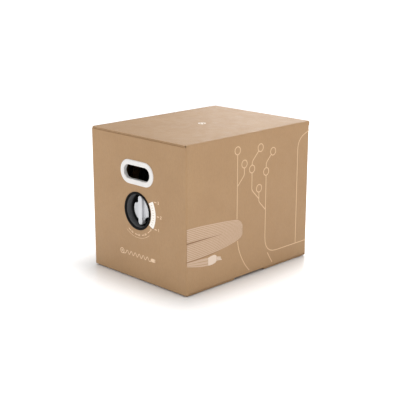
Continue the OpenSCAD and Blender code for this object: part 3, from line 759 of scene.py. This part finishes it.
def dial_knob(knob_material):
    """The knob: a disc with two notches and a hub, and an upright grip with a rounded top edge."""
    low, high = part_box("dial_knob")
    on_face = basis((DIAL.x, low.y + GRIP_RISE, DIAL.z), (1, 0, 0), (0, 0, 1), (0, -1, 0))
    disc_r = (high.x - low.x) / 2
    notch = [(18.5, -13.9), (15.4, -15.1), (12.6, -17.0), (10.2, -19.4), (8.3, -21.8), (7.0, -24.2)]
    half = arc(0, 0, disc_r, 104.8, -29, 40) + [(u * MM, v * MM) for u, v in notch]
    disc = Shell()
    disc.prism(half + [(-u, -v) for u, v in half], -KNOB_DISC, 0, on_face)
    hub_section = rectangle(SPINDLE_BORE, -KNOB_DISC - 2.2 * MM, 9 * MM, -KNOB_DISC + 1 * MM)
    hub = revolve(hub_section, on_face, 48)
    disc.add(hub.verts, hub.faces)
    bevelled(piece("dial_disc", disc, knob_material, "dial",
                   ("dial_knob",)), 0.55 * MM, 3, 40)

    round_r, inset = 1.1 * MM, -0.3 * MM
    levels = [(-KNOB_DISC + 0.1 * MM, 0), (0, 0), (0.5 * MM, -0.05 * MM), (3 * MM, -0.15 * MM),
              (GRIP_RISE - round_r, inset)]
    levels += [(GRIP_RISE - round_r + round_r * math.sin(a), inset - round_r * (1 - math.cos(a)))
               for a in (math.radians(15 * i) for i in range(1, 7))]
    stations = [(cx, a - math.pi / 2) for cx, a in upright_stadium(high.z - low.z - GRIP_WIDTH)]
    rows = []
    for h, change in levels:
        r = GRIP_WIDTH / 2 + change
        rows.append([on_face @ Vector((r * math.cos(a), cx + r * math.sin(a), h)) for cx, a in stations])
    grip = Shell()
    grip.ribbon(rows)
    piece("dial_grip", grip, knob_material, "dial")


def upright_stadium(straight):
    """Stations round an oval that stands upright."""
    half, steps = straight / 2, 16
    top = [(half, math.radians(90 + 180 * i / steps)) for i in range(steps + 1)]
    bottom = [(-half, math.radians(270 + 180 * i / steps)) for i in range(steps + 1)]
    return top + bottom


# ---------------------------------------------------------------- wound cable
def winding(cable):
    """Full layers of cable as ridges round the reel, and the open top layer as one long coil."""
    half = FLANGE_IN_X - 0.3 * MM
    ridges = int(2 * half / CABLE_D)
    pitch = 2 * half / ridges
    axis = basis((0, REEL.y, REEL.z), (0, 1, 0), (0, 0, 1), (1, 0, 0))
    full_layers(cable, half, ridges, pitch, axis)
    top_layer(cable, half, pitch, axis)


def full_layers(cable, half, ridges, pitch, axis):
    base_r = PACK_R - CABLE_D - pitch / 2
    profile = [(CORE_R + 0.2 * MM, -half), (base_r, -half)]
    for i in range(ridges):
        mid = -half + pitch * (i + 0.5)
        profile += [(base_r + pitch / 2 * math.sin(a), mid - pitch / 2 * math.cos(a))
                    for a in (math.pi * k / 6 for k in range(1, 7))]
    profile += [(CORE_R + 0.2 * MM, half)]
    shell = revolve(profile, axis, 120)
    piece("cable_layers", shell, cable, "reel", ("cable_pack",), 60)


def top_layer(cable, half, pitch, axis):
    """A coil that climbs on to the full layers in half a turn, wanders a little and ends at the tape."""
    sides, steps, wander = 10, 90, 0.25 * MM
    low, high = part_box("end_tape")
    start_x, end_x = -half + CABLE_D / 2, (low.x + high.x) / 2
    centre_r, r = PACK_R - CABLE_D / 2, CABLE_D / 2 - 0.02 * MM
    turns = int((end_x - start_x) / pitch)
    section = [(r * math.cos(b), r * math.sin(b)) for b in (TAU * k / sides for k in range(sides))]
    rows = []
    for i in range(turns * steps + 1):
        turn = i / steps
        angle = TAU * turn + math.radians(CABLE_END)
        x = start_x + (end_x - start_x) * turn / turns + wander * math.sin(7.3 * turn)
        ring_r = centre_r - (1 - min(1, turn * 2)) * CABLE_D * 0.6
        rows.append([axis @ Vector(((ring_r + du) * math.cos(angle),
                                    (ring_r + du) * math.sin(angle), x + dx)) for du, dx in section])
    top = Shell()
    top.ribbon(rows)
    piece("cable_top_layer", top, cable, "reel", (), 60)


# ---------------------------------------------------------------- printing
class Print(Shell):
    """Ink on a panel: closed strips about a tenth of a millimetre high on the panel's (u, v) plane.

    Each strip's top is a little higher or lower than the last one's, so tops that cross aren't in one
    plane."""
    low, high = 0.01 * MM, 0.08 * MM
    levels, rise = 7, 0.006 * MM

    def __init__(self, matrix):
        super().__init__()
        self.matrix = matrix
        self.strips = 0

    def between(self, first, second):
        """Fills the strip between two curves with the same number of points, given in millimetres."""
        level = self.strips % self.levels
        low, high = self.low - self.rise * level / self.levels, self.high + self.rise * level
        self.strips += 1
        rows = []
        for (u1, v1), (u2, v2) in zip(first, second):
            ring = [(u1, v1, low), (u2, v2, low), (u2, v2, high), (u1, v1, high)]
            rows.append([self.matrix @ Vector((u * MM, v * MM, h)) for u, v, h in ring])
        self.ribbon(rows)

    def line(self, path, width, closed=False):
        """Draws a line of even width with mitred corners through points given in millimetres."""
        count = len(path)
        left, right = [], []
        for i, (u, v) in enumerate(path):
            before = path[i - 1] if i or closed else path[0]
            after = path[(i + 1) % count] if i < count - 1 or closed else path[-1]
            a = Vector((u - before[0], v - before[1]))
            b = Vector((after[0] - u, after[1] - v))
            a, b = (a if a.length else b).normalized(), (b if b.length else a).normalized()
            normal = Vector((-a.y - b.y, a.x + b.x)).normalized()
            reach = width / 2 / max(0.5, normal.dot(Vector((-a.y, a.x))))
            left.append((u + normal.x * reach, v + normal.y * reach))
            right.append((u - normal.x * reach, v - normal.y * reach))
        if closed:
            left.append(left[0])
            right.append(right[0])
        self.between(left, right)

    def ring(self, u, v, r, width):
        self.line(arc(u, v, r, 0, 360, 36)[:-1], width, closed=True)

    def disc(self, u, v, r):
        self.between(arc(u, v, r, 90, 270, 16), arc(u, v, r, 90, -90, 16))

    def finish(self, name, material, body, slot):
        piece(name, self, material, body)


def curve(points, steps=8):
    """A smooth curve through the points (Catmull-Rom)."""
    padded = [points[0]] + points + [points[-1]]
    out = []
    for p0, p1, p2, p3 in zip(padded, padded[1:], padded[2:], padded[3:]):
        for t in (i / steps for i in range(steps)):
            out.append(tuple(0.5 * (2 * b + (c - a) * t + (2 * a - 5 * b + 4 * c - d) * t ** 2
                                    + (3 * b - a - 3 * c + d) * t ** 3)
                             for a, b, c, d in zip(p0, p1, p2, p3)))
    return out + [points[-1]]


def rounded(points, r, steps=6):
    """A path of straight lines whose corners are turned with a radius of about r."""
    out = [points[0]]
    for a, b, c in zip(points, points[1:], points[2:]):
        p, q, s = Vector(a), Vector(b), Vector(c)
        start, end = q + (p - q).normalized() * r, q + (s - q).normalized() * r
        for t in (i / steps for i in range(steps + 1)):
            spot = start * (1 - t) ** 2 + q * 2 * t * (1 - t) + end * t ** 2
            out.append((spot.x, spot.y))
    return out + [points[-1]]


# lines of each numeral, 6 mm high, about its middle
NUMERALS = {
    "1": [(-1.2, 1.6), (0.3, 3.0), (0.3, -3.0)],
    "2": [(-1.7, 1.7), (-1.0, 2.7), (0.3, 3.0), (1.5, 2.3), (1.5, 1.1), (-1.7, -3.0), (1.9, -3.0)],
    "3": [(-1.6, 2.4), (-0.5, 3.0), (0.9, 2.8), (1.5, 1.7), (0.9, 0.4), (-0.3, 0.2), (1.1, -0.2),
          (1.8, -1.4), (1.1, -2.7), (-0.5, -3.0), (-1.7, -2.3)],
}
FRONT_PLANE = basis((0, FRONT_Y, 0), (1, 0, 0), (0, 0, 1), (0, -1, 0))
SIDE_PLANE = basis((RIGHT_X, FRONT_Y, 0), (0, 1, 0), (0, 0, 1), (1, 0, 0))
DIAL_U, DIAL_V = DIAL.x / MM, DIAL.z / MM


def round_dial(r, start, end, steps):
    """An arc about the dial's middle, in millimetres and degrees."""
    return arc(DIAL_U, DIAL_V, r, start, end, steps)


def scale_band(white):
    """The white band on the right of the dial, with a row of ticks cut out of it."""
    cuts = [-25 + 50 * i / 8 for i in range(9)]
    edges = [-32.6] + [c + d for c in cuts for d in (-0.45, 0.45)] + [32.5]
    band = Print(FRONT_PLANE)
    band.between(round_dial(46.2, -33.5, 33, 40), round_dial(51, -32.8, 32.6, 40))
    band.between(round_dial(55.4, -32.0, 32.2, 40), round_dial(61, -31.2, 31.6, 40))
    for start, end in zip(edges[::2], edges[1::2]):
        band.between(round_dial(50.9, start, end, 6), round_dial(55.5, start, end, 6))
    band.finish("scale_band", white, "carton", "print_white")


def scale_numbers(cream):
    labels = Print(FRONT_PLANE)
    for angle, digit in ((29, "3"), (0, "2"), (-28.5, "1")):
        u, v = round_dial(66, angle, angle, 1)[0]
        labels.line([(u - 1, v), (u + 6.5, v)], 2.2)
        labels.line([(u + 12 + a, v + b) for a, b in NUMERALS[digit]], 1.3)
    labels.finish("scale_numbers", cream, "carton", "print_cream")


def turn_marks(cream):
    """Dashes and chevrons under the dial that point towards the scale, over a thin arc."""
    turn = Print(FRONT_PLANE)
    for start in (-124, -100, -76, -53):
        turn.line(round_dial(56.5, start, start + 9, 6), 1.6)
        for tip in (start + 13.5, start + 16.9):
            ends = ((54.2, tip - 2.4), (56.5, tip), (58.8, tip - 2.4))
            turn.line([round_dial(r, a, a, 1)[0] for r, a in ends], 1.2)
    turn.line(round_dial(63.5, -128, -52, 40), 0.7)
    turn.finish("turn_marks", cream, "carton", "print_cream")


def reel_and_plug_symbol(cream):
    """A reel, a wavy cable and a plug, in a line low on the front."""
    base, line = 58, 1.5
    symbol = Print(FRONT_PLANE)
    symbol.ring(-57, base, 6.2, line)
    symbol.ring(-57, base, 2.2, 1.2)
    cable = [(-57, base - 6.2), (-50, base - 5.2)]
    cable += [(-46 + 84 * t, base + 4.4 * math.sin(TAU * 6 * t - math.pi / 2)) for t in
              (i / 96 for i in range(97))]
    symbol.line(cable, line)
    symbol.line([(38, base - 4.4), (42, base - 4), (43.5, base)], line)
    symbol.between([(43, base + 2.4), (46, base + 4.2), (55, base + 4.2)],
                   [(43, base - 2.4), (46, base - 4.2), (55, base - 4.2)])
    for offset in (-3, -1, 1, 3):
        symbol.line([(55, base + offset), (58.5, base + offset)], 0.9)
    symbol.finish("reel_and_plug_symbol", cream, "carton", "print_cream")


def coil_drawing(coil_ink):
    """A bundle of cable as strips between two curves, parted by a wedge, with its tail below."""
    upper = curve([(0.6, 155.2), (45, 154.2), (85, 151.6), (125, 148.6), (158.7, 144.5), (172, 138),
                   (178, 130), (179, 124.6)])
    lower = curve([(0.6, 80.7), (40, 81), (80, 83), (115, 86.2), (145, 91), (166, 96.5), (176, 102.5),
                   (178.5, 107.6)])
    strips, gap, wedge = 18, 0.15, 8
    wedge_half, wedge_end = 1.6, 113
    coil = Print(SIDE_PLANE)
    for i in range(strips):
        first, second = lerp(upper, lower, (i + gap) / strips), lerp(upper, lower, (i + 1 - gap) / strips)
        if i == wedge - 1:
            second = [(u, v + wedge_half * max(0, 1 - u / wedge_end)) for u, v in second]
        if i == wedge:
            first = [(u, v - wedge_half * max(0, 1 - u / wedge_end)) for u, v in first]
        coil.between(first, second)
    tail_top = curve([(0.6, 79), (22, 78.8), (45, 78.6), (66, 77)])
    tail_low = curve([(0.6, 69.6), (22, 64.2), (45, 59.4), (66, 57)])
    for a, b in ((0.06, 0.38), (0.44, 0.74), (0.80, 1.0)):
        coil.between(lerp(tail_top, tail_low, a), lerp(tail_top, tail_low, b))
    coil.finish("coil_drawing", coil_ink, "carton", "print_cream")


def coil_shading(shade_ink):
    """Dark slivers in the wedge and under the bundle."""
    dark = Print(SIDE_PLANE)
    dark.between([(0.6, 123.2), (40, 123.1), (80, 122.2), (108, 121.3)],
                 [(0.6, 120.2), (40, 120.6), (80, 121.0), (108, 121.0)])
    dark.between([(0.6, 80.5), (40, 80.7), (80, 82.7), (104, 84.8)],
                 [(0.6, 79.2), (40, 79.0), (80, 81.6), (104, 84.4)])
    dark.finish("coil_shading", shade_ink, "carton", "print_cream")


def plug_drawing(plug_ink):
    plug = Print(SIDE_PLANE)
    plug.between([(66.6, 75.5), (76, 77.4), (86, 78), (92, 75.6), (93.6, 72)],
                 [(66.6, 57), (72, 56.4), (82, 56.6), (90, 58.6), (93.6, 62)])
    for k in range(3):
        plug.between([(94.4, 71.6 - 3.4 * k), (106.5 + 1.6 * k, 68.8 - 3.2 * k)],
                     [(94.4, 69.2 - 3.4 * k), (107.5 + 1.6 * k, 66.6 - 3.2 * k)])
    plug.finish("plug_drawing", plug_ink, "carton", "print_white")


def line_drawing(line_ink):
    """A tree of lines that end in rings, and plain lines that run off the panel's edges."""
    thick, ring_r = 2.2, 9
    tree = Print(SIDE_PLANE)
    # points of each branch, and the middle of the ring at its end
    for points, ring_at in (
            ([(160, 145), (160, 220), (160, 296)], (160, 305)),
            ([(160, 222), (183, 245), (183, 262)], (183, 271)),
            ([(258, 150), (258, 190), (258, 232)], (258, 241)),
            ([(257, 150), (234, 173), (234, 196)], (234, 205)),
            ([(234, 180), (209, 205), (209, 246)], (209, 255)),
            ([(209, 264), (209, 272), (231, 294)], (237.5, 300.5)),
            ([(258, 250), (258, 262), (275, 279)], (281.4, 285.4))):
        tree.ring(*ring_at, ring_r, thick)
        tree.line(rounded(points, 5), thick)
    tree.line(rounded([(258, 151), (258, 40), (BOX_D - 0.5, 40)], 42), thick)
    tree.line(rounded([(372, 41), (372, 300), (BOX_D - 0.5, 318)], 24), thick)
    tree.line(curve([(163, 93), (164.5, 82), (169, 66), (178, 47), (190, 28), (204, 12)]), thick)
    tree.line(rounded([(268, 40), (276, 27), (286, 12)], 6), thick)
    tree.finish("line_drawing", line_ink, "carton", "print_cream")


def lid_symbol(white):
    """A small reel in the middle of the lid."""
    mark = Print(flat_at(LID_HIGH.z))
    mark.ring(0, 0, 8, 2.2)
    mark.disc(0, 0, 3)
    mark.line([(0, -8), (12, -8)], 2.2)
    mark.finish("lid_symbol", white, "lid", "print_white")


def build_carton():
    """The boards, and returns the lining's material for the parts inside that are made of board."""
    kraft_x = kraft("kraft_flutes_across_x", KRAFT_LIGHT, KRAFT_DARK, "X")
    kraft_y = kraft("kraft_flutes_across_y", KRAFT_LIGHT, KRAFT_DARK, "Y")
    inside_x = kraft("inside_flutes_across_x", INSIDE_LIGHT, INSIDE_DARK, "X")
    inside_y = kraft("inside_flutes_across_y", INSIDE_LIGHT, INSIDE_DARK, "Y")
    carton(kraft_x, kraft_y, inside_x, inside_y)
    lid(kraft_y)
    dust_flaps(kraft_x)
    tuck_flap(kraft_y)
    bottom_creases(kraft_x, kraft_y)
    return inside_y


def build_fittings(lining):
    """The rims, dial and winding, and the materials of the CAD nodes that are shown as they are."""
    natural = moulded("natural_plastic", linear(222, 220, 210), 0.4)
    knob = moulded("knob_plastic", linear(222, 223, 226), 0.42)
    matte = moulded("black_matte_plastic", (0.022, 0.022, 0.023, 1), 0.5)
    paint = moulded("bar_paint", (0.030, 0.031, 0.033, 1), 0.38, 0.00005)
    bright = steel("steel", (0.62, 0.62, 0.63, 1), 0.3, (1, 0.05, 1))
    oval_rims(moulded("white_plastic", linear(234, 231, 228), 0.34, coat=0.15), natural)
    dial_cup(cup_plastic("black_gloss_plastic"))
    dial_knob(knob)
    winding(jacket("cable_jacket"))
    for material, nodes in (
            (matte, ("axle_socket_left", "axle_socket_right", "housing_ring_nut", "brake_guide",
                     "brake_plunger")),
            (bright, ("axle", "guide_screws", "tie_rods", "tie_nuts", "dial_spindle", "spindle_clip",
                      "drag_spring", "bar_screws")),
            (natural, ("hub_bush_left", "hub_bush_right")),
            (plywood("plywood"), ("reel_flange_left", "reel_flange_right")),
            (tape_paper("tape"), ("end_tape",)),
            (paint, ("brake_bar",)),
            (felt("felt"), ("brake_pad_left", "brake_pad_right")),
            (lining, ("core_tube", "support_insert_left", "support_insert_right"))):
        for node in nodes:
            repaint(node, material)


def build_printing():
    white = ink("print_white", linear(255, 250, 242), KRAFT_LIGHT, 0.12)
    cream = ink("print_cream", linear(238, 208, 176), KRAFT_LIGHT, 0.25)
    scale_band(white)
    scale_numbers(cream)
    turn_marks(cream)
    reel_and_plug_symbol(cream)
    coil_drawing(ink("coil_ink", linear(204, 175, 150), KRAFT_LIGHT, 0.25))
    coil_shading(ink("shade_ink", linear(140, 106, 76), KRAFT_LIGHT, 0.25))
    plug_drawing(ink("plug_ink", linear(228, 207, 188), KRAFT_LIGHT, 0.15))
    line_drawing(ink("line_ink", linear(218, 185, 149), KRAFT_LIGHT, 0.2))
    lid_symbol(white)


camera()
studio()
build_fittings(build_carton())
build_printing()
